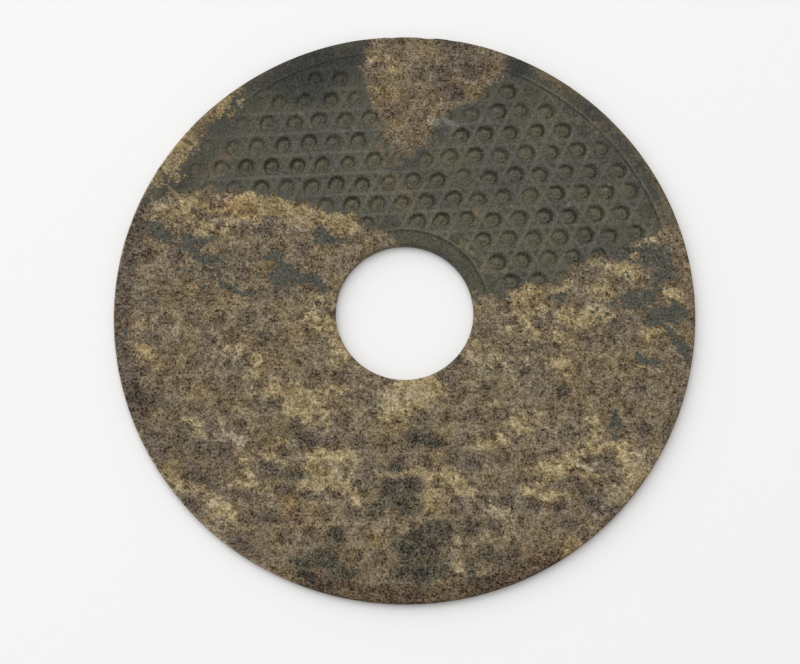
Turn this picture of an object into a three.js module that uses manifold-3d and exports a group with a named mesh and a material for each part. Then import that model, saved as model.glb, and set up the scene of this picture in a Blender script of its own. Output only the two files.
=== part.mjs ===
// Jade bi disc: a flat ring of mottled nephrite. Its upper face is carved with rows of small
// comma-shaped grains between two plain rims, and its underside is flat and plain.
// Millimetres, +Z up. The origin is at the ring's centre, on its underside.
import * as THREE from "three";
import { mergeGeometries, mergeVertices } from "three/addons/utils/BufferGeometryUtils.js";
import Module from "manifold-3d";

// The ring
const outerRadius = 85;
const holeRadius = 20.2;
const thickness = 3.2;
const edgeBevel = 0.3;
const outlineSides = 84;
const holeSides = 42;

// The outline is a little out of true: slow waves, and a stretch of the edge worn flatter.
const outlineWaves = [
  { lobes: 3, size: 0.05, towards: 50 },
  { lobes: 5, size: 0.05, towards: 12 },
];
const wornStretch = { towards: 90, halfWidth: 9, depth: 0.25 };

// Border lines: a narrow groove between each plain rim and the carved field
const outerBorderRadius = 80.2;
const innerBorderRadius = 24.7;
const borderHalfWidth = 0.45;
const borderDepth = 0.3;
const outerBorderSides = 60;
const innerBorderSides = 32;

// The grains stand in a lattice laid out by hand, nearly one of equilateral triangles.
const rowStep = { pitch: 7.54, direction: 2.9 };
const crossStep = { pitch: 7.43, direction: 64.15 };
const latticeStart = new THREE.Vector2(1.7, 7.3);
const fieldMargin = 3.2;

// A grain is a comma. A crescent cut bounds its head, and its tail runs into the ground.
const crescentReach = 2.85;
const crescentFrom = 207;
const crescentTo = -27;
const crescentCorners = 4;
const crescentDepth = 0.45;
const headRadius = 1.75;
const headShift = 0.35;
const headCorners = [45, 135];
const tailDirection = 245;

// The commas turn a little from left to right across the disc, as the carver turned the work.
const turnPerMillimetre = -0.75;
const mostTurn = 45;

// Small chips out of the upper edge, each as a tilted block that takes a bite of it
const chips = [
  { towards: 92.5, width: 2.2, bite: 0.7 },
  { towards: 85.5, width: 3.4, bite: 1.0 },
  { towards: 80, width: 2.0, bite: 0.6 },
  { towards: 318, width: 2.8, bite: 0.6 },
];
const chipBlock = 6;
const chipTilt = 40;

const wasm = await Module();
wasm.setup();

const radians = THREE.MathUtils.degToRad;

function polarPoint(radius, degrees, centre = new THREE.Vector2()) {
  const angle = radians(degrees);
  return new THREE.Vector2(
    centre.x + radius * Math.cos(angle),
    centre.y + radius * Math.sin(angle),
  );
}

// A closed three.js geometry as a manifold-3d solid
function solidOf(geometry) {
  const bare = geometry.index ? geometry.toNonIndexed() : geometry.clone();
  bare.deleteAttribute("normal");
  bare.deleteAttribute("uv");
  const merged = mergeVertices(bare, 1e-4);
  return new wasm.Manifold(
    new wasm.Mesh({
      numProp: 3,
      vertProperties: merged.attributes.position.array,
      triVerts: new Uint32Array(merged.index.array),
    }),
  );
}

function geometryOf(solid) {
  const mesh = solid.getMesh();
  const geometry = new THREE.BufferGeometry();
  geometry.setAttribute("position", new THREE.BufferAttribute(mesh.vertProperties, 3));
  geometry.setIndex(new THREE.BufferAttribute(mesh.triVerts, 1));
  const faceted = geometry.toNonIndexed();
  faceted.computeVertexNormals();
  return faceted;
}

function outlineRadius(degrees) {
  const waves = outlineWaves.reduce(
    (sum, wave) => sum + wave.size * Math.cos(wave.lobes * radians(degrees - wave.towards)),
    0,
  );
  const away = (degrees - wornStretch.towards) / wornStretch.halfWidth;
  return outerRadius + waves - wornStretch.depth * Math.exp(-away * away);
}

function ringBody() {
  const outline = [];
  for (let side = 0; side < outlineSides; side++) {
    const degrees = (side * 360) / outlineSides;
    outline.push(polarPoint(outlineRadius(degrees), degrees));
  }
  const hole = [];
  for (let side = 0; side < holeSides; side++) {
    hole.push(polarPoint(holeRadius, (-side * 360) / holeSides));
  }
  const shape = new THREE.Shape(outline);
  shape.holes.push(new THREE.Path(hole));
  const body = new THREE.ExtrudeGeometry(shape, {
    depth: thickness - 2 * edgeBevel,
    bevelEnabled: true,
    bevelThickness: edgeBevel,
    bevelSize: edgeBevel,
    bevelOffset: -edgeBevel,
    bevelSegments: 1,
  });
  return body.translate(0, 0, edgeBevel);
}

// A V-shaped ring: its point lies a groove's depth below the face, its open side as far above.
function borderCutter(radius, sides) {
  const profile = [
    new THREE.Vector2(radius, thickness - borderDepth),
    new THREE.Vector2(radius + 2 * borderHalfWidth, thickness + borderDepth),
    new THREE.Vector2(radius - 2 * borderHalfWidth, thickness + borderDepth),
    new THREE.Vector2(radius, thickness - borderDepth),
  ];
  return new THREE.LatheGeometry(profile, sides).rotateX(Math.PI / 2);
}

function crescentShape() {
  const corners = [];
  const step = (crescentTo - crescentFrom) / (crescentCorners - 1);
  for (let corner = 0; corner < crescentCorners; corner++) {
    corners.push(polarPoint(crescentReach, crescentFrom + corner * step));
  }
  const head = polarPoint(headShift, tailDirection);
  for (const degrees of headCorners) {
    corners.push(polarPoint(headRadius, degrees, head));
  }
  return new THREE.Shape(corners);
}

function grainCentres() {
  const along = polarPoint(rowStep.pitch, rowStep.direction);
  const across = polarPoint(crossStep.pitch, crossStep.direction);
  const least = innerBorderRadius + borderHalfWidth + fieldMargin;
  const most = outerBorderRadius - borderHalfWidth - fieldMargin;
  const reach = Math.ceil((2 * outerRadius) / crossStep.pitch);
  const centres = [];
  for (let row = -reach; row <= reach; row++) {
    for (let place = -reach; place <= reach; place++) {
      const centre = latticeStart
        .clone()
        .addScaledVector(along, place)
        .addScaledVector(across, row);
      if (centre.length() > least && centre.length() < most) {
        centres.push(centre);
      }
    }
  }
  return centres;
}

function grainCutters() {
  const crescent = new THREE.ExtrudeGeometry(crescentShape(), {
    depth: 2 * crescentDepth,
    bevelEnabled: false,
  });
  const floor = thickness - crescentDepth;
  const cuts = grainCentres().map((centre) => {
    const turn = THREE.MathUtils.clamp(turnPerMillimetre * centre.x, -mostTurn, mostTurn);
    return crescent.clone().rotateZ(radians(turn)).translate(centre.x, centre.y, floor);
  });
  return mergeGeometries(cuts);
}

// A block turned to stand across the edge, so that one of its faces shears off the corner
function chipCutter({ towards, width, bite }) {
  const block = new THREE.BoxGeometry(chipBlock, width, chipBlock);
  block.translate(chipBlock / 2, 0, 0);
  block.rotateY(radians(-chipTilt));
  block.translate(outlineRadius(towards) - bite, 0, thickness);
  return block.rotateZ(radians(towards));
}

function carvedDisc() {
  const cutters = [
    borderCutter(outerBorderRadius, outerBorderSides),
    borderCutter(innerBorderRadius, innerBorderSides),
    grainCutters(),
    ...chips.map(chipCutter),
  ];
  return cutters.reduce((body, cutter) => body.subtract(solidOf(cutter)), solidOf(ringBody()));
}

const nephrite = new THREE.MeshStandardMaterial({
  color: 0x6e6350,
  roughness: 0.5,
  metalness: 0,
});

const disc = new THREE.Mesh(geometryOf(carvedDisc()), nephrite);
disc.name = "bi_disc";

const biDisc = new THREE.Group();
biDisc.add(disc);

export default biDisc;
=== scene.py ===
# A jade bi disc lying on a pale table: a flat ring of mottled nephrite, its face carved with
# rows of small comma-shaped grains inside a net of low straight ridges.
import bpy
import math
import numpy as np
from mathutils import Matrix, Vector
from mathutils.geometry import delaunay_2d_cdt


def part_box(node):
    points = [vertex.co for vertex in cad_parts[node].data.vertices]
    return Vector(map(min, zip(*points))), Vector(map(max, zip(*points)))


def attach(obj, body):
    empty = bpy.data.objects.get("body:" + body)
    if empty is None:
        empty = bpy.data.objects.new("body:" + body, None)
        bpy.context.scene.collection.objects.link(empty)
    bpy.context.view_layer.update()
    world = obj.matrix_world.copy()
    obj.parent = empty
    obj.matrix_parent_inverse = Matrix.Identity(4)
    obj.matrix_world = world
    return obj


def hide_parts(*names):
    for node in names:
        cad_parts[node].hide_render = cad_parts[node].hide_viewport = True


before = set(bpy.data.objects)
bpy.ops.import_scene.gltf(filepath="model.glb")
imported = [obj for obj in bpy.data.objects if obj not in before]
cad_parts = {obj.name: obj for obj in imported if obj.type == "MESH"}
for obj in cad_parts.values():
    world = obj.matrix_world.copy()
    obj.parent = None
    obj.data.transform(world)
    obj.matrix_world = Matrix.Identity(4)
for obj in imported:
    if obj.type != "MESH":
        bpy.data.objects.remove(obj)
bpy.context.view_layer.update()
mm = 0.001
print("frame loaded")


# small helpers for numbers; lengths are millimetres unless they say otherwise
def smooth(value, low, high):
    t = np.clip((value - low) / (high - low), 0, 1)
    return t * t * (3 - 2 * t)


def turned(length, degrees):
    angle = math.radians(degrees)
    return np.array([length * math.cos(angle), length * math.sin(angle)])


def lumps(x, y, size, seed):
    # soft lumps about size across, from -1 to 1, the same every run
    cells = 96                                         # the lumps repeat after this many
    grid = np.random.default_rng(seed).uniform(-1, 1, (cells + 1, cells + 1))
    u, v = (0.8 * x + 0.6 * y) / size + 500, (0.8 * y - 0.6 * x) / size + 500
    i, j = np.floor(u).astype(int), np.floor(v).astype(int)
    s, t = smooth(u - i, 0, 1), smooth(v - j, 0, 1)
    i, j = i % cells, j % cells
    low = grid[i, j] * (1 - s) + grid[i + 1, j] * s
    high = grid[i, j + 1] * (1 - s) + grid[i + 1, j + 1] * s
    return low * (1 - t) + high * t


def spots(x, y, places):
    # soft ellipses, each (x, y, half length, half width, turn in degrees, weight)
    total = np.zeros_like(x)
    for px, py, length, width, turn, weight in places:
        c, s = math.cos(math.radians(turn)), math.sin(math.radians(turn))
        along, across = (x - px) * c + (y - py) * s, (y - py) * c - (x - px) * s
        total += weight * np.exp(-((along / length) ** 2 + (across / width) ** 2))
    return total


ring = {
    "outerRadius": 85.0,
    "holeRadius": 20.2,
    "thickness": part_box("bi_disc")[1].z / mm,
    "outlineWaves": [(3, 0.05, 50), (5, 0.05, 12)],   # lobes, size, towards
    "wornStretch": (90, 9, 0.25),                      # towards, half width, depth
    # chips in the upper edge: towards, half width, bite
    "chips": [(92.5, 2.2, 0.7), (85.5, 3.4, 1.0), (80, 2.0, 0.6), (318, 2.8, 0.6)],
    "chipSlope": 1.15,                                 # drop of a chip for each millimetre outward
    "edgeRounding": 0.45,
    "rimSteps": 620,                                   # points round the outer edge
    "holeSteps": 176,                                  # points round the hole
    "rimInsets": (0.05, 0.2, 0.5, 1.1, 2.0, 3.0),      # rings of points, inward from the outer edge
    "holeInsets": (0.05, 0.2, 0.5, 1.2, 2.2, 3.2),     # and outward from the hole
    # rings of points down each wall: share of its height, and how far back from the wall
    "wallRings": ((1, 0), (0.75, 0), (0.45, 0), (0.1, 0), (0.025, 0.12), (0, 0.35)),
    "wallDrop": 0.12,                                  # least fall from the face to the top of a wall
}

border = {
    "outer": 80.0,
    "inner": 24.6,
    "halfWidth": 0.42,
    "depth": 0.34,
    "lip": 0.62,                                       # from the groove to its pale lip
    "lipHalf": 0.4,
    "fade": 0.5,                                       # the carving dies away over this, at the groove
    "outerRings": (1.1, 0.62, 0.3, 0, -0.3, -0.65),    # rings of points, outward from the outer groove
    "innerRings": (-0.55, -0.25, 0, 0.25, 0.6, 1.1),
}

lattice = {
    "start": (1.72, 7.28),
    "rowPitch": 7.54,
    "rowTurn": 2.9,
    "crossPitch": 7.43,
    "crossTurn": 64.15,
    "ridgeHalf": 0.975,                                # half width of a ridge at its foot
    "ridgeDrop": 0.02,                                 # its top, under the face
    "floorDrop": 0.24,                                 # the ground, under the face
    "wander": 0.25,                                    # how far the ridges stray
    "pitAt": 0.36,                                     # share of a cell, along both steps
    "pitHalf": 0.95,
    "pitDepth": 0.10,
}

grain = {
    "jitter": 0.30,                                    # how far the grains stray from the net
    "turnPerMm": -0.8,                                 # they lean more and more towards both sides
    "mostTurn": 48,
    "turnJitter": 7,
    "sizeJitter": 0.05,
    "depthJitter": 0.2,
    # the crescent, followed clockwise from its left tip: degrees, radius, half width, depth
    "crescent": [(-14, 2.85, 0.16, 0.00), (2, 2.45, 0.30, 0.20), (30, 2.05, 0.48, 0.38),
                 (70, 1.90, 0.58, 0.48), (120, 1.88, 0.60, 0.50), (165, 1.90, 0.54, 0.44),
                 (205, 1.88, 0.42, 0.34), (240, 1.84, 0.30, 0.24), (285, 1.78, 0.22, 0.15),
                 (334, 1.80, 0.16, 0.00)],
    "tip": 190,                                        # where the crescent starts
    # the curl inside the head, followed the other way: degrees, radius, half width, depth
    "curl": [(-20, 1.75, 0.20, 0.05), (40, 1.22, 0.24, 0.20), (90, 0.92, 0.25, 0.24),
             (160, 0.66, 0.24, 0.20), (235, 0.40, 0.20, 0.06)],
    "headRadius": 1.35,                                # its top is level with the face
    "spread": 1.2,                                     # a cut with its soft shoulders, in half widths
    "reach": 3.6,                                      # nothing of a grain lies further out than this
    "clear": 2.3,                                      # room between a grain's centre and the border
}


def outlineRadius(degrees):
    radius = np.full_like(degrees, ring["outerRadius"])
    for lobes, size, towards in ring["outlineWaves"]:
        radius = radius + size * np.cos(np.radians(lobes * (degrees - towards)))
    towards, halfWidth, depth = ring["wornStretch"]
    return radius - depth * np.exp(-((degrees - towards) / halfWidth) ** 2)


rowStep = turned(lattice["rowPitch"], lattice["rowTurn"])
crossStep = turned(lattice["crossPitch"], lattice["crossTurn"])
cellArea = abs(rowStep[0] * crossStep[1] - rowStep[1] * crossStep[0])
latticeStart = np.array(lattice["start"])
# spacing of the three families of ridges: along the rows, along the cross rows, and the third way
spacing = [cellArea / np.linalg.norm(step) for step in (rowStep, crossStep, crossStep - rowStep)]


def latticePlace(x, y):
    across = np.linalg.inv(np.column_stack([rowStep, crossStep]))
    dx, dy = x - latticeStart[0], y - latticeStart[1]
    return across[0, 0] * dx + across[0, 1] * dy, across[1, 0] * dx + across[1, 1] * dy


def grainCentres():
    rng = np.random.default_rng(11)
    found = []
    for row in range(-26, 27):
        for place in range(-26, 27):
            centre = latticeStart + place * rowStep + row * crossStep
            drift = rng.normal(0, grain["jitter"], 2).clip(-0.5, 0.5)
            turn, size, depth = rng.normal(0, 1, 3).clip(-2, 2)
            centre = centre + drift
            radius = np.hypot(*centre)
            lean = np.clip(grain["turnPerMm"] * centre[0], -grain["mostTurn"], grain["mostTurn"])
            if border["inner"] + grain["clear"] < radius < border["outer"] - grain["clear"]:
                found.append({
                    "centre": centre,
                    "turn": lean + grain["turnJitter"] * turn,
                    "size": 1 + grain["sizeJitter"] * size,
                    "depth": 1 + grain["depthJitter"] * depth,
                })
    return found


grains = grainCentres()


def follow(path, degrees):
    # radius, half width and depth of a cut at some degrees along its path
    knots = np.array(path)
    return [np.interp(degrees, knots[:, 0], knots[:, k]) for k in (1, 2, 3)]


def trough(distance, halfWidth):
    # a rounded groove: 1 at its middle, 0 at its edges
    t = np.clip(1 - np.abs(distance) / halfWidth, 0, 1)
    return t * t * (3 - 2 * t)


# how much of the carving is left: sharp in the polished band, nearly gone in the weathered parts
wear = {
    "weathered": 0.24,
    "polished": 1.0,
    "least": 0.15,
    "uneven": 0.08,
    "change": (-3, 6),                                 # from weathered to polished, across the band's edge
    # soft ellipses: x, y, half length, half width, turn, weight
    "spots": [
        (2, 72, 15, 14, 0, -0.45),
        (-30, 72, 22, 12, 20, -0.25),
        (-62, 40, 14, 14, 0, -0.3),
        (62, 52, 14, 10, -45, -0.25),
        (-45, -50, 26, 18, -35, 0.12),
        (-4, -64, 30, 14, 0, 0.22),
        (45, -45, 26, 20, 35, 0.15),
    ],
}

# the lower edge of the polished green band, from left to right, as (x, y)
bandEdge = [(-90, 31), (-72.6, 33.7), (-64, 36), (-51.4, 37.0), (-42, 35.5), (-31.4, 33.7), (-22, 31),
            (-15.9, 28.1), (-8, 24), (-2.6, 21.4), (6, 14), (19.7, 4.8), (30, 5.4), (38.6, 7.0),
            (46, 11), (54.1, 14.8), (61, 18), (68.6, 20.3), (73, 22.6), (90, 30)]
# the weathered wedge that comes down into the band from the top edge: y, left side, right side
wedge = [(42, 3, -3), (47, -1, 2), (52, -5, 5), (58, -6, 10), (62, -7, 16), (66, -9, 22),
         (70, -11.5, 26), (76, -12, 29), (80, -10, 31), (90, -9, 33)]
# the rim at the upper left is weathered too: its middle in degrees, and where that ends on both sides
tanRim = {"towards": 142, "ends": (10, 34), "inward": 0.45, "rise": 14}


def bandReach(x, y):
    # how far inside the green band a point lies, in millimetres, less than nothing outside it
    knots = np.array(bandEdge)
    inside = y - np.interp(x, knots[:, 0], knots[:, 1])
    knots = np.array(wedge)
    left, right = np.interp(y, knots[:, 0], knots[:, 1]), np.interp(y, knots[:, 0], knots[:, 2])
    outOfWedge = np.where(y > wedge[0][0], np.maximum(left - x, 0.6 * (x - right)), 20)
    away = np.abs(np.degrees(np.arctan2(y, x)) - tanRim["towards"])
    strip = tanRim["inward"] * (border["outer"] - np.hypot(x, y))
    strip = strip + tanRim["rise"] * smooth(away, *tanRim["ends"])
    return np.minimum(np.minimum(inside, outOfWedge), strip)


def keepOf(x, y):
    # the share of the carving that is left
    inBand = smooth(bandReach(x, y), *wear["change"])
    keep = wear["weathered"] + (wear["polished"] - wear["weathered"]) * inBand
    keep = keep + spots(x, y, wear["spots"])
    return np.clip(keep + wear["uneven"] * lumps(x, y, 11, 21), wear["least"], 1)


def netRidges(x, y, u, v):
    # the three families of ridges between the grains, each stronger or fainter from left to right
    strengths = (
        1.0 - 0.4 * smooth(x, 0, 40),
        0.7 + 0.2 * smooth(x, -30, 10),
        0.5 + 0.25 * smooth(x, 0, 40),
    )
    ridge = np.zeros_like(x)
    for value, gap, strength in zip((v, u, u + v), spacing, strengths):
        away = np.abs(value - np.floor(value) - 0.5) * gap
        ridge = np.maximum(ridge, strength * trough(away, lattice["ridgeHalf"]))
    return ridge * (0.8 + 0.25 * lumps(x, y, 6, 9))


def cutGrain(one, x, y, height, cut, head):
    # one grain: its head stands out of the ground, then the crescent and the curl are cut into it
    reach, tip, spread = grain["reach"], grain["tip"], grain["spread"]
    near = np.nonzero((np.abs(x - one["centre"][0]) < reach) & (np.abs(y - one["centre"][1]) < reach))[0]
    dx, dy = x[near] - one["centre"][0], y[near] - one["centre"][1]
    away = np.hypot(dx, dy) / one["size"]
    angle = np.degrees(np.arctan2(dy, dx)) - one["turn"]
    clockwise = (tip - angle + 20) % 360 - 20
    mid, halfWidth, depth = follow(grain["crescent"], clockwise)
    dug = depth * trough(away - mid, halfWidth * spread) * one["depth"]
    dug[(clockwise < grain["crescent"][0][0]) | (clockwise > grain["crescent"][-1][0])] = 0
    around = (angle - tip + 20) % 360 - 20
    mid, halfWidth, depth = follow(grain["curl"], around)
    curled = depth * trough(away - mid, halfWidth * spread) * one["depth"]
    curled[around > grain["curl"][-1][0]] = 0
    height[near] += lattice["floorDrop"] * (1 - smooth(away, 0.3, grain["headRadius"] + 0.3))
    height[near] -= np.maximum(dug, curled)
    # painted shade with dirt: how dark the crescent and the curl are coloured, following their depth
    dark = np.maximum(smooth(dug, 0.03, 0.36), 0.6 * smooth(curled, 0.03, 0.2))
    cut[near] = np.maximum(cut[near], dark)
    # a round patch over each grain: lighter olive in the band, partly painted highlight, and a little
    # darker in the weathered parts
    head[near] = np.maximum(head[near], 1 - smooth(away, 1.7, 2.8))


def carve(x, y):
    # the carved face: height under the top, then what the stone shows there: the cuts, darkened with dirt
    # and painted shade, the ridges and lips, lightened partly as painted highlight, and the heads
    radius = np.hypot(x, y)
    wander = lattice["wander"]
    u, v = latticePlace(x + wander * lumps(x, y, 17, 3), y + wander * lumps(x, y, 17, 4))
    ridge = netRidges(x, y, u, v)
    height = -lattice["floorDrop"] + (lattice["floorDrop"] - lattice["ridgeDrop"]) * ridge
    cut = np.zeros_like(x)
    head = np.zeros_like(x)
    for one in grains:
        cutGrain(one, x, y, height, cut, head)
    # small pits between the grains
    pitU, pitV = u - np.floor(u) - lattice["pitAt"], v - np.floor(v) - lattice["pitAt"]
    pitAway = np.hypot(*((np.array([pitU, pitV]).T @ np.array([rowStep, crossStep])).T))
    pit = trough(pitAway, lattice["pitHalf"]) * (0.6 + 0.4 * lumps(x, y, 9, 5))
    height -= lattice["pitDepth"] * pit
    # the pits are coloured darker as well: dirt and painted shade
    cut = np.maximum(cut, 0.7 * pit)
    # the field ends at the border grooves, and the rims beyond them stay plain
    inField = smooth(radius, border["inner"], border["inner"] + border["fade"])
    inField = inField * (1 - smooth(radius, border["outer"] - border["fade"], border["outer"]))
    height, cut, ridge, head = height * inField, cut * inField, ridge * inField, head * inField
    for middle in (border["outer"], border["inner"]):
        line = trough(radius - middle, border["halfWidth"])
        height = np.minimum(height, -border["depth"] * line)
        # the border grooves are coloured darker: dirt and painted shade
        cut = np.maximum(cut, 0.75 * line)
        # the pale lip beside each border groove is colour only, a painted highlight
        ridge = np.maximum(ridge, 0.9 * trough(radius - middle - border["lip"], border["lipHalf"]))
    keep = keepOf(x, y)
    height = height * keep
    # the stone is never quite flat, and its weathered parts are finely pitted
    rough = 1 - smooth(bandReach(x, y), -2, 3)
    height = height - 0.03 - 0.02 * lumps(x, y, 14, 6)
    height = height - rough * (0.012 + 0.012 * lumps(x, y, 1.3, 7) + 0.012 * lumps(x, y, 0.8, 8))
    return {"height": np.minimum(height, 0), "cut": cut * keep, "ridge": ridge * keep, "head": head}


def spacer():
    # hands back the points of each set that stand at least gap away from all those of earlier sets
    cell = 0.08
    half = int(90 / cell)
    marks = np.zeros((2 * half, 2 * half), bool)

    def place(points, gap):
        at = np.round(points / cell).astype(int) + half
        reach = int(gap / cell)
        free = np.ones(len(points), bool)
        for i in range(-reach, reach + 1):
            for j in range(-reach, reach + 1):
                if np.hypot(i, j) * cell <= gap:
                    free &= ~marks[at[:, 0] + i, at[:, 1] + j]
        at = at[free]
        marks[at[:, 0], at[:, 1]] = True
        return points[free]

    return place


def within(points, low, high):
    radius = np.hypot(points[:, 0], points[:, 1])
    return points[(radius > low) & (radius < high)]


def polar(radius, degrees, centre=(0, 0)):
    angle = np.radians(degrees)
    return np.column_stack([centre[0] + radius * np.cos(angle), centre[1] + radius * np.sin(angle)])


# how finely the mesh is made: the least gap between points on a grain, on a ridge and on the ground
fineness = {
    "grainGap": 0.2,
    "ridgeGap": 0.33,
    "groundGap": 0.35,
    "groundStep": (0.5, 0.45),
    "inset": (1.5, 1.05),                              # all these stay this far inside the two grooves
    "ridgeStep": 0.1,
    "ridgeSides": (0, -0.55, 0.55),                    # rows of points, from the middle of a ridge
    # lines of points along each cut, in half widths from its middle, and degrees from point to point
    "crescent": ((-1.2, -0.55, 0, 0.55, 1.2), 17),
    "curl": ((-1.2, 0, 1.2), 26),
    "batches": 60,                                     # the grains' points are placed in this many sets
    "underStep": 2.4,
    "underGap": 0.5,
    "underInset": (1.2, 1.6),                          # from the hole and from the outer edge
}


def rimRings():
    outerSteps = np.arange(ring["rimSteps"]) * 360 / ring["rimSteps"]
    holeSteps = np.arange(ring["holeSteps"]) * 360 / ring["holeSteps"]
    edge = outlineRadius(outerSteps)
    rings = [polar(edge - inset, outerSteps) for inset in ring["rimInsets"]]
    rings += [polar(border["outer"] + away, outerSteps) for away in border["outerRings"]]
    rings += [polar(ring["holeRadius"] + inset, holeSteps) for inset in ring["holeInsets"]]
    rings += [polar(border["inner"] + away, holeSteps) for away in border["innerRings"]]
    return rings


def grainLines():
    lines = []
    for one in grains:
        for name, sign in (("crescent", -1), ("curl", 1)):
            sides, step = fineness[name]
            first, last = grain[name][0][0], grain[name][-1][0]
            along = np.arange(max(first, -8), last, step)
            mid, halfWidth, _ = follow(grain[name], along)
            turn = grain["tip"] + sign * along + one["turn"]
            for side in sides:
                lines.append(polar((mid + side * halfWidth) * one["size"], turn, one["centre"]))
    return np.concatenate(lines)


def facePoints():
    # rings along the rims, each grain's own lines, then rows along each ridge, then the ground
    inside = (border["inner"] + fineness["inset"][0], border["outer"] - fineness["inset"][1])
    place = spacer()
    sets = np.array_split(within(grainLines(), *inside), fineness["batches"])
    kept = [place(part, fineness["grainGap"]) for part in sets]
    along = np.arange(-24, 24, fineness["ridgeStep"])[:, None]
    for step, other, gap in ((rowStep, crossStep, spacing[0]), (crossStep, rowStep, spacing[1]),
                             (crossStep - rowStep, rowStep, spacing[2])):
        for k in range(-24, 24):
            for side in fineness["ridgeSides"]:
                row = latticeStart + along * step + (k + 0.5 + side / gap) * other
                kept.append(place(within(row, *inside), fineness["ridgeGap"]))
    across, down = fineness["groundStep"]
    for row in range(-175, 176):
        xs = np.arange(-80, 80, across) + (row % 2) * across / 2
        points = np.column_stack([xs, np.full_like(xs, row * down)])
        kept.append(place(within(points, *inside), fineness["groundGap"]))
    return np.concatenate(rimRings() + kept)


def triangles(points, hole, up=1):
    # triangles between the points, counted by their place in the list
    # hole is the range of the hole's own points, and nothing is laid between those alone
    made = delaunay_2d_cdt([Vector(p) for p in points], [], [], 0, 1e-6)
    faces = np.array([place[0] for place in made[3]])[np.array(made[2])]
    a, b, c = (points[faces[:, k]] for k in range(3))
    turn = ((b[:, 0] - a[:, 0]) * (c[:, 1] - a[:, 1]) - (b[:, 1] - a[:, 1]) * (c[:, 0] - a[:, 0])) * up
    faces[turn < 0] = faces[turn < 0][:, ::-1]
    return faces[~((faces >= hole[0]) & (faces < hole[1])).all(1)]


def chipCut(x, y, height):
    # small bites out of the upper edge, each deepest at its middle
    degrees = np.degrees(np.arctan2(y, x))
    radius = np.hypot(x, y)
    for towards, width, bite in ring["chips"]:
        sideways = np.abs((degrees - towards + 180) % 360 - 180) * math.pi / 180 * radius
        start = outlineRadius(degrees) - bite * (1 - (sideways / width) ** 2)
        slope = np.where(sideways < width, -(radius - start) * ring["chipSlope"], 0)
        height = np.minimum(height, np.minimum(slope, 0))
    return height


def rounding(inset):
    # drop of a rounded edge, at inset millimetres from the rim
    r = ring["edgeRounding"]
    t = np.clip(1 - inset / r, 0, 1)
    return r * (1 - np.sqrt(1 - t * t))


def walls(height, holeStart, count):
    # the outer wall and the wall of the hole, ring by ring down to the underside
    corners, faces, lowest = [], [], []
    for start, steps, outward in ((0, ring["rimSteps"], 1), (holeStart, ring["holeSteps"], -1)):
        degrees = np.arange(steps) * 360 / steps
        radii = outlineRadius(degrees) if outward > 0 else np.full(steps, ring["holeRadius"])
        above = start + np.arange(steps)
        level = np.minimum(ring["thickness"] - ring["edgeRounding"], height[above] - ring["wallDrop"])
        for share, back in ring["wallRings"]:
            corners.append(np.column_stack([polar(radii - outward * back, degrees), share * level]))
            below = count + np.arange(steps)
            a, b, c, d = above, np.roll(above, -1), below, np.roll(below, -1)
            for wall in (np.column_stack([a, c, d]), np.column_stack([a, d, b])):
                faces.append(wall if outward > 0 else wall[:, ::-1])
            above = below
            count += steps
        lowest.append(above)
    return corners, faces, np.concatenate(lowest), count


def underside(edgePoints):
    # the plain underside: its two edges, and an even grid between them
    place = spacer()
    under = [place(edgePoints, 0)]
    low = ring["holeRadius"] + fineness["underInset"][0]
    high = ring["outerRadius"] - fineness["underInset"][1]
    grid = np.arange(-84, 85, fineness["underStep"])
    for row in grid:
        points = np.column_stack([grid, np.full_like(grid, row)])
        under.append(place(within(points, low, high), fineness["underGap"]))
    return np.concatenate(under)


def meshObject(name, corners, faces):
    mesh = bpy.data.meshes.new(name)
    mesh.vertices.add(len(corners))
    mesh.vertices.foreach_set("co", (corners * mm).ravel())
    mesh.loops.add(len(faces) * 3)
    mesh.loops.foreach_set("vertex_index", faces.ravel())
    mesh.polygons.add(len(faces))
    mesh.polygons.foreach_set("loop_start", np.arange(len(faces)) * 3)
    mesh.polygons.foreach_set("loop_total", np.full(len(faces), 3))
    mesh.polygons.foreach_set("use_smooth", np.ones(len(faces), bool))
    mesh.update(calc_edges=True)
    mesh.validate()
    made = bpy.data.objects.new(name, mesh)
    bpy.context.scene.collection.objects.link(made)
    return made


def buildDisc():
    top = facePoints()
    x, y = top[:, 0], top[:, 1]
    carved = carve(x, y)
    radius = np.hypot(x, y)
    edge = outlineRadius(np.degrees(np.arctan2(y, x)))
    height = carved["height"] - rounding(edge - radius) - rounding(radius - ring["holeRadius"])
    height = ring["thickness"] + chipCut(x, y, height)
    holeStart = (len(ring["rimInsets"]) + len(border["outerRings"])) * ring["rimSteps"]
    topFaces = triangles(top, (holeStart, holeStart + ring["holeSteps"]))
    wallCorners, wallFaces, lowest, count = walls(height, holeStart, len(top))
    corners = np.concatenate([np.column_stack([x, y, height])] + wallCorners)

    under = underside(corners[lowest][:, :2])
    fresh = len(under) - len(lowest)
    numbers = np.concatenate([lowest, count + np.arange(fresh)])
    underFaces = numbers[triangles(under, (ring["rimSteps"], len(lowest)), up=-1)]
    corners = np.concatenate([corners, np.column_stack([under[len(lowest):], np.zeros(fresh)])])
    faces = np.concatenate([topFaces] + wallFaces + [underFaces])

    made = meshObject("biDisc", corners, faces)
    shown = colourFields(corners[:, 0], corners[:, 1])
    for name in ("cut", "ridge", "head"):
        shown[name] = np.zeros(len(corners))
        shown[name][:len(top)] = carved[name]
    for name, values in shown.items():
        layer = made.data.attributes.new(name, "FLOAT", "POINT")
        layer.data.foreach_set("value", values.astype(np.float32))
    print("disc", len(corners), "points", len(faces), "triangles")
    return made


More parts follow.
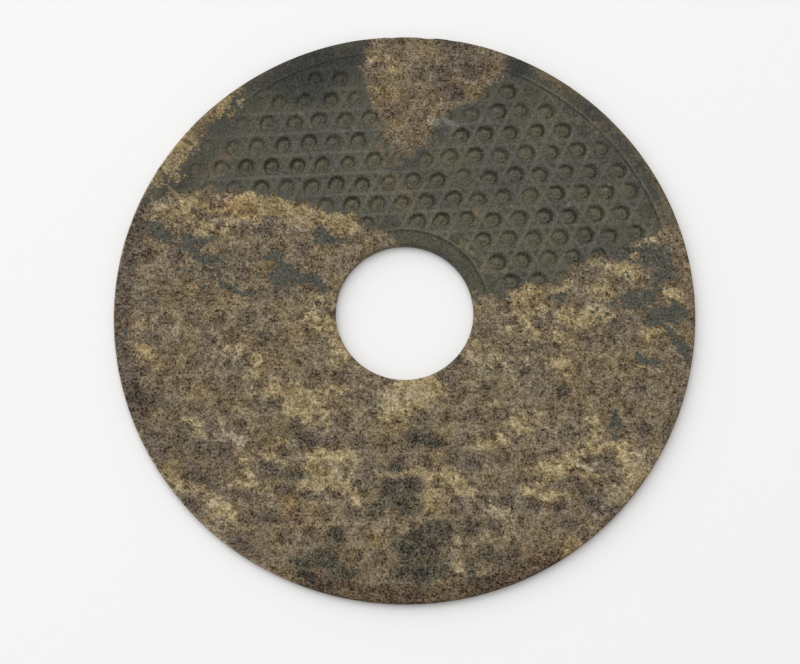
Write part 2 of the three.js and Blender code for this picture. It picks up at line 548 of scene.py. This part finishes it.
# where the colours of the stone lie: soft ellipses, each (x, y, half length, half width, turn, weight)
patches = {
    # yellow-tan, the lightest of the weathered stone
    "ochre": [
        (-45, 33, 10, 3.5, -8, 0.6), (-30, 29, 7, 4, -15, 0.6), (-37, 32.5, 5, 2, -20, 0.6),
        (-68, 30, 8, 4, 10, 0.5), (-57, 26, 6, 3, 0, 0.4), (-18, 27, 5, 3, -20, 0.6),
        (-25, 3, 6, 4, 0, 0.4), (-68, 47, 5, 4, 60, 0.9), (-52, 63, 4, 3, 45, 0.6),
        (-44, 69, 4, 1.5, 40, 0.6), (-66, 42, 4, 2, 50, 0.7), (-3, 75, 4, 4, 0, 0.5),
        (-8, 78, 3, 2, 0, 0.5), (-8, 69, 2, 1.5, 0, 0.6), (11, 64, 3, 1.5, -20, 0.5),
        (-25, -3, 7, 3, 0, 0.6), (-17, -12, 4, 4, -40, 0.9), (-20, -8, 3, 3, 0, 0.5),
        (-38, -24, 7, 3.5, -10, 0.9), (-32, -27, 6, 4, -40, 0.8), (-27, -25, 5, 4, 0, 0.6),
        (-24, -32, 4, 3, -30, 0.6), (-36, -38, 6, 1.8, 10, 0.6), (-15, -43, 5, 3, 20, 0.9),
        (-26, -44, 5, 4, 60, 0.8), (-26, -50, 4.5, 4, 0, 1.0), (-20, -50, 5, 3, 0, 0.5),
        (-15, -54, 3, 3, 0, 0.8), (0, -25, 7, 6, 0, 1.0), (-4, -31, 4, 2, -30, 0.6),
        (-66, -49, 6, 3.2, -45, 1.0), (-55, -54, 4, 2.5, -45, 0.9), (-50, -58, 4, 2, -30, 0.7),
        (-53, -62, 3, 2, -30, 0.6), (-46, -45, 5, 1.5, -35, 0.6), (-42, -52, 6, 1.8, -40, 0.7),
        (-49, -50, 3, 2, 0, 0.5), (-53, -32, 3, 2, 70, 0.7), (-63, -33, 3, 2, 0, 0.5),
        (-58, -37, 4, 2, -30, 0.7), (-76, -11, 5, 2, -10, 0.8), (-77, -4, 3, 2, 70, 0.6),
        (-68, -5, 2, 2, 0, 0.5), (-52, -12, 5, 4, 0, 0.5), (-42, -12, 4, 2, 90, 0.5),
        (-45, -16, 3, 3, 0, 0.5), (-38, -43, 4, 2, -10, 0.7), (-18, -24, 4, 2, 0, 0.5),
        (5, -24, 6, 4, 0, 1.0), (20, -13, 4, 2.5, 90, 0.6), (27, -15, 3, 2, 0, 0.4),
        (44, -16, 8, 3, 0, 0.6), (55, -2, 6, 3, 15, 0.7), (38, -5, 5, 3, 0, 0.4),
        (75, -6, 7, 2, 10, 0.6), (42, -4, 24, 10, 0, 0.35), (52, -46, 16, 8, 20, 0.3),
        (-40, 28, 30, 6, -6, 0.3), (30, -30, 20, 8, 0, 0.12), (70, -17, 5, 2, -20, 0.5),
        (32, -33, 5, 3, -10, 0.5), (25, -38, 5, 1.8, 0, 0.6), (55, -34, 4, 2.4, 90, 0.9),
        (58, -40, 4, 1.2, 5, 0.9), (43, -46, 6, 2.5, 20, 0.6), (66, -45, 4.5, 4, 0, 0.6),
        (62, -53, 4, 2, -45, 0.6), (38, -53, 6, 1.5, -5, 0.7), (15, -51, 7, 3, -55, 0.9),
        (7, -54, 5, 2.8, 90, 0.9), (1, -48, 8, 1.8, 0, 0.8), (2, -63, 5, 2, 30, 0.5),
        (28, -59, 3.2, 2.5, -40, 0.8), (15, -70, 6, 2.6, 90, 0.5), (15, -76, 4, 3, 0, 0.4),
        (78, 5, 4, 3, 0, 1.0), (66, 12, 6, 2.5, -20, 0.9), (56, 14, 4, 1.6, -10, 0.9),
        (67, 17, 4, 1.5, 50, 0.8), (72, 21, 3, 1, -10, 0.7), (83, 14, 3, 2, 60, 0.8),
        (46, 8, 3, 1.5, 20, 0.7), (36, 5, 5, 3, 0, 0.5), (58, 5, 5, 2, 0, 0.5),
    ],
    # light and greyish; the small spots in the polished band are painted highlights of its sheen
    "paleAndHighlight": [
        (-48, -37, 4, 2.4, -45, 1.0), (52, -44, 4, 2.6, -35, 0.9), (24, -57, 3, 2, 90, 0.6),
        (8, 59, 4, 3, 90, 0.25), (-72, -24, 3, 2, 0, 0.6), (-31, 67, 3.5, 1.1, 100, 0.8),
        (-28, 64.5, 2.5, 1.0, 100, 0.7), (57, -22, 4, 3, 90, 0.3), (-5, -33, 4, 2, 0, 0.4),
        (-65, -51, 3, 1.6, -45, 0.7), (-55, -55, 2.4, 1.6, 0, 0.7), (-56, -42, 3, 2, -30, 0.5),
        (-60, 19, 4, 2, 40, 0.5), (-20, 22.5, 4, 2, 0, 0.4), (60, 38, 3, 1.6, 60, 0.6),
        (48, 33, 2.6, 1.4, 0, 0.6), (62, 33, 2, 2, 0, 0.4), (-17, 57, 3, 1.2, 0, 0.7),
        (12, 57.4, 5, 1.1, 0, 0.7), (-33, 61, 3, 1, 0, 0.4),
    ],
    # dark purplish brown
    "umber": [
        (-80, 22, 8, 3.4, 75, 0.8), (-82, 8, 9, 2.6, 88, 0.7), (-76, 34, 4, 2, 60, 0.5),
        (-77, 17, 3, 3, 0, 0.5), (-8, 75, 2, 1, 0, 0.7), (-4, 62, 4, 3, 0, 0.6),
        (15, 67, 5, 3, -20, 0.6), (20, 75, 6, 3, -30, 0.5), (25, 76, 2, 2, 0, 0.6),
        (6, 71, 15, 9, 0, 0.28), (14, 82, 9, 2, -8, 0.7), (33, 76, 4, 3, -20, 0.9),
        (55, 63, 6, 2.5, -45, 0.6), (66, 51, 8, 2, -55, 0.4), (-78, -27, 5, 4, -50, 0.9),
        (-73, -28, 4, 3, 0, 0.5), (-60, -30, 10, 2.5, -10, 0.35), (-55, -41, 7, 3, -30, 0.6),
        (-66, -40, 6, 3, -30, 0.6), (-58, -49, 8, 2.5, -38, 0.7), (-46, -55, 6, 2, -40, 0.6),
        (-37, -28, 3, 1.6, 0, 0.9), (-62, -56, 6, 2, -45, 0.8), (-47, -67, 7, 3, -40, 0.8),
        (-42, -62, 4, 3, -40, 0.5), (-35, -47, 5, 3, 0, 0.6), (-33, -53, 4, 3, 0, 0.7),
        (-27, -55, 3, 2, 0, 0.8), (-34, -37, 3, 1, 0, 0.7), (-28, -38, 3, 2.4, 0, 0.7),
        (-35, -42, 2, 1, 0, 0.8), (-17, -38, 8, 2, 0, 0.3), (-51, -29, 3, 2, 0, 0.5),
        (-74, -8, 3.4, 3, 0, 0.6), (-82, -8, 6, 2.2, 94, 0.6), (12, -22, 3, 3, 0, 0.5),
        (16, -15, 4, 1.5, 10, 0.8), (8, -28, 4, 2, 0, 0.5), (24, -6, 2, 2, 0, 0.6),
        (46, -23, 3, 3, 0, 0.6), (52, -18, 3, 2, 90, 0.4), (20, -45, 3.4, 3, 0, 0.6),
        (42, -42, 4, 2, 0, 0.5), (54, -43, 5, 1.6, 0, 0.6), (48, -50, 6, 2.5, -20, 0.6),
        (56, -56, 7, 3, -35, 0.7), (50, -65, 8, 2.6, -40, 0.8), (37, -57, 2.5, 2.5, 0, 0.5),
        (44, -57, 2.4, 2.2, 90, 0.7), (29, -56, 2.4, 2, 0, 0.7), (25, -63, 2.6, 2, 0, 0.7),
        (19, -64, 2.6, 2.6, 0, 0.7), (33, -42, 6, 2, 0, 0.4), (-48, -22, 8, 2, 0, 0.3),
        (38, -66, 6, 3, 0, 0.3), (-18, -31, 5, 2, 0, 0.3), (12, -44, 4, 2, 0, 0.4),
    ],
    # dark mossy grey
    "moss": [
        (-1, -54, 6.4, 5.6, 0, 1.1), (7, -38, 7, 2.4, 0, 1.0), (3, -36, 3, 2, 0, 0.5),
        (-3, -45, 3, 2, 0, 0.8), (8, -65, 8, 4, 20, 0.8), (0, -69, 7, 3, 0, 0.6),
        (4, -76, 9, 4, 0, 0.9), (-20, -66, 4, 3, 0, 0.8), (-26, -73, 7, 3, 10, 1.0),
        (-17, -76, 6, 3, 0, 0.8), (-28, -78.5, 4, 2, -20, 0.7), (-30, -47, 3, 2, 0, 1.0),
        (-10, -59, 4, 3, 0, 0.4), (27, -72, 9, 3, 0, 0.7), (20, -77, 3, 2, 90, 0.7),
        (-8, -26, 4, 3, 0, 0.5), (-58, -27, 4, 2, 0, 0.4), (25, -22, 3, 1.6, 0, 0.6),
        (33, -12, 3, 1.6, 0, 0.6), (50, -7, 5, 2, -30, 0.6), (-69, -12, 3, 2, 0, 0.6),
        (-37, -67, 3, 2, 0, 0.5), (-50, -73, 3, 2, 0, 0.3), (-34, -61, 2, 2, 0, 0.4),
    ],
    # flecks of the grey-green stone left showing in the weathered parts
    "fleck": [
        (-71, 24, 5, 2.2, -20, 1.0), (-62, 22, 3, 1.5, 0, 0.7), (-65, 18.5, 2, 1, 0, 0.6),
        (-62.5, 18, 2, 1.2, 90, 0.6), (-57.5, 14.5, 4, 1.6, -10, 1.0), (-60, 16, 2, 1.5, 0, 0.6),
        (-38, 17, 4, 1.6, 10, 0.8), (-36, 12, 2.5, 2, 0, 1.0), (-30, 9, 7, 1.7, -8, 1.2),
        (-36, 26.5, 2, 0.8, -20, 0.8), (-40, 29, 2.5, 0.8, 0, 0.8), (-34, 30, 2.5, 0.8, 0, 0.7),
        (-27, 28.3, 2, 0.9, 10, 0.9), (-22, 22, 4.5, 1.5, -5, 1.0), (-24.5, 24, 1.6, 1, 90, 0.7),
        (-25, 20, 1.5, 1, 0, 0.6), (-59, 23, 4, 1, 10, 0.5), (-66, 12, 1.5, 1.5, 0, 0.5),
        (-52, 7, 3, 2, 0, 0.5), (-44, 7, 3, 1.5, 0, 0.5), (-48, 12, 30, 14, 0, 0.22),
        (74, 16, 5.5, 4, 0, 0.9), (76, 11, 4, 2, 0, 0.6), (72, 6, 4, 2.4, 20, 0.6),
        (67, 3.6, 4, 2, 0, 0.65), (75, -1, 6, 2.4, 0, 0.95), (80, 0, 3, 2, 0, 0.7),
        (80, -9, 4.6, 2.6, -45, 1.0), (82, -13, 3, 1.5, 90, 0.8), (70, -15, 4, 1.6, 0, 1.0),
        (60, -33, 4.5, 1.4, 90, 0.9), (62, -38, 2, 1, 0, 0.7), (79.5, -26, 2, 1, 90, 0.9),
        (46, 5, 2.5, 2, 0, 0.7), (40, 10, 4, 1.5, 0, 0.9), (30, 8, 4, 2, 0, 0.9), (24, 9, 3, 2, 0, 0.8),
        (22, 4, 2, 1.5, 0, 0.6), (63, 18, 5, 2, 0, 0.9), (76, -35, 2, 1, 90, 0.6),
        (60, 0, 22, 14, 0, 0.2), (-82, -10, 4, 1, 95, 0.8),
    ],
    # orange-brown
    "rust": [
        (-32, -61, 7, 4, 0, 0.7), (-32, -55, 3, 3, 0, 0.6), (-60, -22, 9, 3, 0, 0.5),
        (-68, -18, 8, 3, -10, 0.4), (-8, -67, 3, 3, 0, 0.6), (-2, -75, 4, 3, 0, 0.6),
        (36, -71, 5, 2.6, 0, 0.7), (-45, 31, 12, 4, 0, 0.5), (27, 75, 4, 2, 20, 0.8),
        (-3, 58, 4, 3, 0, 0.5), (-66, 45, 6, 4, 50, 0.4), (-56, 31, 10, 3, 0, 0.4),
        (3, 66, 6, 5, 0, 0.3), (-4, 44.5, 2.4, 1.4, 90, 0.9), (0, 47.5, 1.8, 1.0, 0, 0.8),
        (75, 40, 4, 1.6, -60, 0.8), (47, 69.5, 4, 1.2, -35, 0.8), (24.5, 53, 1.4, 1, 0, 0.4),
    ],
    # near black, in the polished band
    "dusk": [
        (-26, 76, 17, 6.5, 14, 1.0), (-30, 67, 12, 5, 10, 0.55), (-68, 38, 5, 3, 30, 0.5),
        (-60, 46, 8, 4, 50, 0.4), (-50, 60, 6, 5, 45, 0.3), (33, 76, 5, 3, -20, 0.7),
        (56, 62, 8, 3, -45, 0.3), (67, 50, 9, 2.5, -56, 0.15), (36, 66, 9, 6, -20, 0.3),
        (-45, 45, 8, 5, 20, 0.35), (5, 38, 10, 7, 0, 0.15),
    ],
    # brown stains that lie over the polished band
    "stain": [
        (-3, 45, 6, 9, 0, 0.5), (-3, 58, 8, 6, 0, 0.6), (10, 53, 9, 4, 0, 0.3), (0, 35, 6, 4, 0, 0.35),
        (-57, 44, 7, 4, 40, 0.6), (-53, 42, 3, 2, 0, 0.8), (-62, 52, 5, 2, 55, 0.5),
        (-28, 38.5, 3, 2, 0, 0.6), (-30, 60, 5, 7, 0, 0.3), (22, 29, 2, 1.6, 0, 0.6),
        (30, 11.5, 1.6, 0.7, 0, 1.0), (23, 13, 1.6, 1.0, 0, 0.7), (46, 57, 4, 3, 0, 0.3),
        (-8, 24, 6, 2.4, -15, 0.6), (30, 31, 14, 3, 0, 0.25), (18, 19, 4, 2, -45, 0.5),
        (56, 57, 5, 3, -40, 0.4), (-36, 50, 12, 4, 0, 0.2), (40, 45, 10, 6, 0, 0.15),
        (76, 27, 3, 1.2, -70, 0.9), (78, 31, 6, 1.6, -68, 0.7), (42, 73.5, 5, 1.2, -30, 0.7),
        (-40, 76, 6, 1.4, 28, 0.7),
    ],
}

# tones of the rim beyond the groove, of its worn outer edge and of the outer wall:
# field, strength, azimuth from and to, and the degrees over which they fade
rimTones = {
    "rim": [
        ("ochre", 0.3, 128, 152, 6), ("ochre", 0.3, 300, 330, 6),
        ("umber", 0.45, 160, 214, 6), ("umber", 0.3, 318, 352, 6),
        ("umber", 0.8, 252, 300, 6), ("umber", 0.3, 120, 150, 6),
        ("rust", 0.75, 252, 300, 6), ("rust", 0.15, 22, 62, 6),
        ("stain", 0.25, 18, 60, 6), ("stain", 0.25, 96, 118, 6),
        ("paleAndHighlight", 0.2, 20, 60, 6),
    ],
    "edge": [("stain", 0.5, 20, 62, 10)],
    # the pale left and lower left of the outer wall is a painted highlight, as if lit there
    "wall": [("paleAndHighlight", 1.2, 140, 246, 6), ("rust", 0.8, 255, 420, 6)],
}


def window(degrees, start, end, soft):
    # 1 between two azimuths, falling away over soft degrees on both sides
    away = np.abs((degrees - (start + end) / 2 + 180) % 360 - 180) - (end - start) / 2
    return 1 - smooth(away, 0, soft)


def colourFields(x, y):
    # smooth fields that the material breaks up into flecks
    wx, wy = x + 1.6 * lumps(x, y, 5, 31), y + 1.6 * lumps(x, y, 5, 32)
    fields = {name: spots(wx, wy, places) for name, places in patches.items()}
    fields["polished"] = np.clip(bandReach(wx, wy) / 10, -1, 1)
    degrees, radius = np.degrees(np.arctan2(wy, wx)) % 360, np.hypot(x, y)
    shares = {
        "rim": smooth(radius, border["outer"] - 0.2, border["outer"] + 0.6),
        "edge": smooth(radius, ring["outerRadius"] - 1.6, ring["outerRadius"] - 0.4),
        "wall": smooth(radius, ring["outerRadius"] - 0.45, ring["outerRadius"] - 0.15),
    }
    for part, tones in rimTones.items():
        for name, strength, start, end, soft in tones:
            fields[name] += shares[part] * strength * window(degrees, start, end, soft)
    return fields


disc = buildDisc()
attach(disc, "root")
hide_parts("bi_disc")


class Graph:
    # a short way to write down a node material
    def __init__(self, name):
        self.material = bpy.data.materials.new(name)
        self.material.use_nodes = True
        self.tree = self.material.node_tree
        self.tree.nodes.clear()

    def add(self, kind, inputs=None, **settings):
        made = self.tree.nodes.new(kind)
        for key, value in settings.items():
            setattr(made, key, value)
        for key, value in (inputs or {}).items():
            self.feed(made.inputs[key], value)
        return made

    def feed(self, socket, value):
        if isinstance(value, bpy.types.NodeSocket):
            self.tree.links.new(value, socket)
        else:
            socket.default_value = value

    def math(self, operation, a, b):
        return self.add("ShaderNodeMath", {0: a, 1: b}, operation=operation).outputs[0]

    def sum(self, start, *terms):
        # start plus each value times its weight
        for value, weight in terms:
            made = self.add("ShaderNodeMath", {0: value, 1: weight, 2: start}, operation="MULTIPLY_ADD")
            start = made.outputs[0]
        return start

    def attribute(self, name):
        return self.add("ShaderNodeAttribute", attribute_name=name).outputs["Fac"]

    def noise(self, size, detail=2.0, rough=0.5, offset=0.0, stretch=1.0, turn=0.0):
        # noise whose lumps are about size millimetres across, drawn out by stretch along turn degrees
        place = self.add("ShaderNodeMapping", {
            "Vector": self.add("ShaderNodeTexCoord").outputs["Object"],
            "Location": (offset, offset * 0.7, offset * 0.3),
            "Rotation": (0, 0, math.radians(turn)),
            "Scale": (stretch, 1, 1),
        }, vector_type="TEXTURE")
        made = self.add("ShaderNodeTexNoise", {
            "Vector": place.outputs[0], "Scale": 1 / (size * mm), "Detail": detail, "Roughness": rough,
        })
        return made.outputs["Fac"]

    def step(self, value, low, high):
        # a soft step from 0 to 1
        made = self.add("ShaderNodeMapRange", {
            "Value": value, "From Min": low, "From Max": high,
        }, interpolation_type="SMOOTHSTEP")
        return made.outputs["Result"]

    def mix(self, share, a, b, blend="MIX"):
        made = self.add("ShaderNodeMix", data_type="RGBA", blend_type=blend)
        self.feed(made.inputs[0], share)
        self.feed(made.inputs[6], a)
        self.feed(made.inputs[7], b)
        return made.outputs[2]

    def ramp(self, value, stops):
        made = self.add("ShaderNodeValToRGB", {"Fac": value})
        ramp = made.color_ramp
        while len(ramp.elements) < len(stops):
            ramp.elements.new(0.5)
        for element, (place, colour) in zip(ramp.elements, stops):
            element.position = place
            element.color = colour
        return made.outputs["Color"]


def paint(red, green, blue):
    # a colour as a painter's chart gives it, 0 to 255, as the light it reflects
    def share(value):
        value = value / 255
        return value / 12.92 if value <= 0.04045 else ((value + 0.055) / 1.055) ** 2.4

    return (share(red), share(green), share(blue), 1.0)


stone = {
    # the polished band
    "greenGrey": paint(66, 65, 57),
    "greenOlive": paint(68, 66, 50),
    "greenDusk": paint(20, 22, 24),
    # the lighter net: partly worn stone, partly painted highlight
    "netGreyAndHighlight": paint(108, 105, 92),
    # olive of the grain heads, lightened partly as painted highlight
    "headOliveAndHighlight": paint(94, 89, 70),
    # light grey of the pale spots; in the band these are painted highlights
    "paleGreyAndHighlight": paint(124, 124, 116),
    "fleckGrey": paint(76, 75, 66),
    "stainBrown": paint(110, 96, 72),
    # the weathered parts, dark to light, in three tints
    "brown": [(0.05, paint(38, 32, 28)), (0.30, paint(74, 64, 54)), (0.50, paint(103, 91, 75)),
              (0.70, paint(132, 119, 98)), (0.95, paint(178, 166, 143))],
    "ochre": [(0.05, paint(44, 35, 24)), (0.30, paint(82, 68, 46)), (0.50, paint(112, 96, 67)),
              (0.70, paint(142, 125, 90)), (0.95, paint(186, 170, 131))],
    "moss": [(0.05, paint(34, 33, 29)), (0.30, paint(60, 58, 47)), (0.50, paint(84, 80, 64)),
             (0.70, paint(112, 106, 86)), (0.95, paint(150, 142, 118))],
    "rustTint": (1.0, 0.80, 0.52, 1.0),
    # near black laid into the grooves and pits, for their dirt and painted shade
    "dirtAndShade": paint(18, 18, 12),
    # sizes of the lumps in the stone, from the finest up, in millimetres
    "speckle": 0.62,
    "grit": 1.25,
    "flake": 2.1,
    "mottle": 4.2,
    "bandEdge": 6.0,
    "hue": 10.4,
    "cloud": 13.0,
    "speckleStrength": 3.6,
    "gritStrength": 1.7,
    # how light the weathered stone is, and how yellow: where each starts, then what pushes it
    "lightStart": -0.33,
    # ridge lightens the net and the groove lips, partly worn stone and partly painted highlight
    "light": {"mottle": 0.45, "flake": 0.50, "grit": 0.46, "cloud": 0.30, "ochre": 0.18, "paleAndHighlight": 0.18,
              "umber": -0.17, "moss": -0.16, "ridge": 0.24, "head": -0.07},
    "warmStart": -0.75,
    "warm": {"hue": 2.2, "ochre": 0.45, "umber": -0.4, "paleAndHighlight": -0.4},
    # the same for the broken edge of the band, the dusk at the upper left and the clouds in the green
    "lineStart": -0.95,
    "line": {"polished": 1.0, "bandEdge": 1.2, "grit": 0.7},
    "duskStart": -1.3,
    "dusk": {"dusk": 1.0, "mottle": 1.0, "flake": 1.0, "grit": 0.6},
    "cloudyStart": -0.2,
    "cloudy": {"mottle": 0.8, "flake": 0.9, "cloud": 0.7},
    "polishedRoughness": 0.50,
    "weatheredRoughness": 0.75,
    "bump": 0.5,
    "bumpDepth": 0.12,
}


def makeStone():
    g = Graph("mottledNephrite")
    field = {
        "speckle": g.noise(stone["speckle"], 2, 0.7),
        "grit": g.noise(stone["grit"], 3, 0.65, 3.1),
        "flake": g.noise(stone["flake"], 4, 0.65, 7.9, 1.3, -30),
        "mottle": g.noise(stone["mottle"], 4, 0.6, 5.3, 1.4, -35),
        "cloud": g.noise(stone["cloud"], 3, 0.55, 8.7),
        "hue": g.noise(stone["hue"], 3, 0.5, 11.9),
        "bandEdge": g.noise(stone["bandEdge"], 7, 0.70, 2.2),
    }
    for name in ("cut", "ridge", "head", "polished", "dusk"):
        field[name] = g.attribute(name)

    def pushed(start, weights):
        return g.sum(start, *((field[name], weight) for name, weight in weights.items()))

    def patchy(name, low, high, mottled=1.0, flaky=1.6, gritty=0.6):
        # a patch broken up at its edges by the mottle, the flakes and the grit
        value = g.sum(-0.5 * (mottled + flaky + gritty), (g.attribute(name), 1.0),
                      (field["mottle"], mottled), (field["flake"], flaky), (field["grit"], gritty))
        return g.step(value, low, high)

    for name, low, high in (("ochre", 0.25, 0.65), ("paleAndHighlight", 0.3, 0.7), ("umber", 0.25, 0.7),
                            ("moss", 0.3, 0.7), ("rust", 0.2, 0.8)):
        field[name] = patchy(name, low, high)
    stain = patchy("stain", 0.3, 0.6, 1.0, 2.0, 1.2)
    fleck = patchy("fleck", 0.42, 0.54, 1.3, 2.6, 0.3)

    def over(base, value, strength, colour, blend="MIX"):
        return g.mix(g.math("MULTIPLY", value, strength), base, colour, blend)

    # green: two tints in clouds, the net greyer and lighter, partly painted highlight, the grains more
    # olive and lighter, partly painted highlight, near black at the upper left
    green = g.mix(g.step(field["cloud"], 0.4, 0.6), stone["greenGrey"], stone["greenOlive"])
    green = over(green, field["head"], 0.5, stone["headOliveAndHighlight"])
    green = over(green, field["ridge"], 0.6, stone["netGreyAndHighlight"])
    green = over(green, stain, 0.5, stone["stainBrown"])
    # pale spots, in the band mostly painted highlights of the sheen
    green = over(green, field["paleAndHighlight"], 0.5, stone["paleGreyAndHighlight"])
    dusk = g.step(pushed(stone["duskStart"], stone["dusk"]), -0.1, 0.9)
    green = over(green, dusk, 0.74, stone["greenDusk"])
    green = over(green, field["umber"], 0.3, stone["greenDusk"])
    shaded = g.add("ShaderNodeVectorMath", {0: green}, operation="SCALE")
    g.feed(shaded.inputs["Scale"], pushed(stone["cloudyStart"], stone["cloudy"]))
    green = shaded.outputs[0]

    # brown: one long ramp of light and dark, pushed up and down by the patches
    level = pushed(stone["lightStart"], stone["light"])
    warm = g.step(pushed(stone["warmStart"], stone["warm"]), 0.0, 1.0)
    brown = g.mix(warm, g.ramp(level, stone["brown"]), g.ramp(level, stone["ochre"]))
    brown = over(brown, field["moss"], 0.8, g.ramp(level, stone["moss"]))
    brown = g.mix(fleck, brown, stone["fleckGrey"])

    inBand = g.step(pushed(stone["lineStart"], stone["line"]), -0.03, 0.03)
    colour = g.mix(inBand, brown, green)
    colour = over(colour, field["rust"], 0.55, stone["rustTint"], "MULTIPLY")
    # grooves and pits darkened with dirt and painted shade, more strongly in the band
    colour = over(colour, field["cut"], g.sum(0.45, (inBand, 0.27)), stone["dirtAndShade"])

    # the finest light and dark is the same in both, only calmer in the band, and mostly without colour
    flecks = g.sum(-0.5 * (stone["speckleStrength"] + stone["gritStrength"]),
                   (field["speckle"], stone["speckleStrength"]), (field["grit"], stone["gritStrength"]))
    flecks = g.math("MULTIPLY", flecks, g.sum(1.0, (g.math("MAXIMUM", inBand, fleck), -0.3)))
    scale = g.math("MAXIMUM", g.sum(1.0, (flecks, 0.55)), 0.3)
    neutral = g.math("MULTIPLY", flecks, g.sum(0.075, (inBand, -0.04)))
    shown = g.add("ShaderNodeVectorMath", {0: colour, 1: scale, 2: neutral}, operation="MULTIPLY_ADD")
    least = (0.004, 0.004, 0.004)
    shown = g.add("ShaderNodeVectorMath", {0: shown.outputs[0], 1: least}, operation="MAXIMUM")

    smoother = stone["polishedRoughness"] - stone["weatheredRoughness"]
    rough = g.sum(stone["weatheredRoughness"], (inBand, smoother))
    roughness = g.sum(-0.1, (field["grit"], 0.2), (rough, 1.0))
    bump = g.add("ShaderNodeBump", {
        "Strength": g.sum(stone["bump"], (inBand, -0.7 * stone["bump"])),
        "Distance": stone["bumpDepth"] * mm,
        "Height": g.sum(0.0, (field["speckle"], 1.0), (field["grit"], 1.0)),
    })
    shader = g.add("ShaderNodeBsdfPrincipled", {
        "Base Color": shown.outputs[0], "Roughness": roughness, "Normal": bump.outputs[0],
        "IOR": 1.6, "Specular IOR Level": 0.14,
    })
    g.add("ShaderNodeOutputMaterial", {"Surface": shader.outputs[0]})
    return g.material


disc.data.materials.append(makeStone())
print("stone material made")


table = {
    "reach": 3.0,
    "sides": 48,
    "colour": paint(240, 240, 240),
    "shade": paint(228, 228, 226),                     # its faint mottle
    "roughness": 0.75,
}

light = {
    # each lamp is a soft box: azimuth and height in degrees, distance, width and depth in metres, power
    "lamps": {
        "overhead": (112, 77, 3.0, 2.2, 2.2, 40.0),
        "side": (138, 34, 3.0, 4.2, 2.7, 46.0),
    },
    "sky": 0.48,
}


def aimedAt(place, target):
    return (Vector(target) - Vector(place)).to_track_quat("-Z", "Y").to_euler()


def sphere(towards, height, distance, centre=(0, 0, 0)):
    # a place seen from the centre at some azimuth, height in degrees and distance
    a, e = math.radians(towards), math.radians(height)
    aim = Vector((math.cos(a) * math.cos(e), math.sin(a) * math.cos(e), math.sin(e)))
    return Vector(centre) + distance * aim


def makeTable():
    sides = table["sides"]
    mesh = bpy.data.meshes.new("table")
    corners = [(*turned(table["reach"], n * 360 / sides), 0) for n in range(sides)]
    mesh.from_pydata(corners, [], [list(range(sides))])
    top = bpy.data.objects.new("table", mesh)
    bpy.context.scene.collection.objects.link(top)
    g = Graph("paleTable")
    mottle = g.noise(60, 3, 0.5)
    colour = g.mix(g.math("MULTIPLY", mottle, 0.04), table["colour"], table["shade"])
    shader = g.add("ShaderNodeBsdfPrincipled", {
        "Base Color": colour, "Roughness": table["roughness"], "Specular IOR Level": 0.2,
    })
    g.add("ShaderNodeOutputMaterial", {"Surface": shader.outputs[0]})
    mesh.materials.append(g.material)


def makeLight():
    for name, (towards, height, distance, width, depth, power) in light["lamps"].items():
        lamp = bpy.data.lights.new(name, "AREA")
        lamp.shape = "RECTANGLE"
        lamp.size, lamp.size_y = width, depth
        lamp.energy = power
        box = bpy.data.objects.new(name, lamp)
        box.location = sphere(towards, height, distance)
        box.rotation_euler = aimedAt(box.location, (0, 0, 0))
        bpy.context.scene.collection.objects.link(box)
    world = bpy.data.worlds.new("studio")
    world.use_nodes = True
    backdrop = world.node_tree.nodes["Background"]
    backdrop.inputs["Color"].default_value = (1, 1, 1, 1)
    backdrop.inputs["Strength"].default_value = light["sky"]
    bpy.context.scene.world = world


makeTable()
makeLight()
print("table and light set")


# the camera looks down on the disc, a little from its near side
camera = {
    "turn": 0,
    "height": 77.75,
    "distance": 0.620,
    "lens": 95.67,
    "sensor": 36,
    "target": (-0.001334, -0.00608, ring["thickness"] * mm),   # on the upper face, in metres
}


def makeCamera():
    data = bpy.data.cameras.new("camera")
    data.lens = camera["lens"]
    data.sensor_width = camera["sensor"]
    data.clip_start = 0.01
    seen = bpy.data.objects.new("camera", data)
    seen.location = sphere(camera["turn"] - 90, camera["height"], camera["distance"], camera["target"])
    seen.rotation_euler = aimedAt(seen.location, camera["target"])
    bpy.context.scene.collection.objects.link(seen)
    bpy.context.scene.camera = seen


makeCamera()
bpy.context.scene.view_settings.view_transform = "Standard"
bpy.context.scene.view_settings.look = "None"
print("camera set")
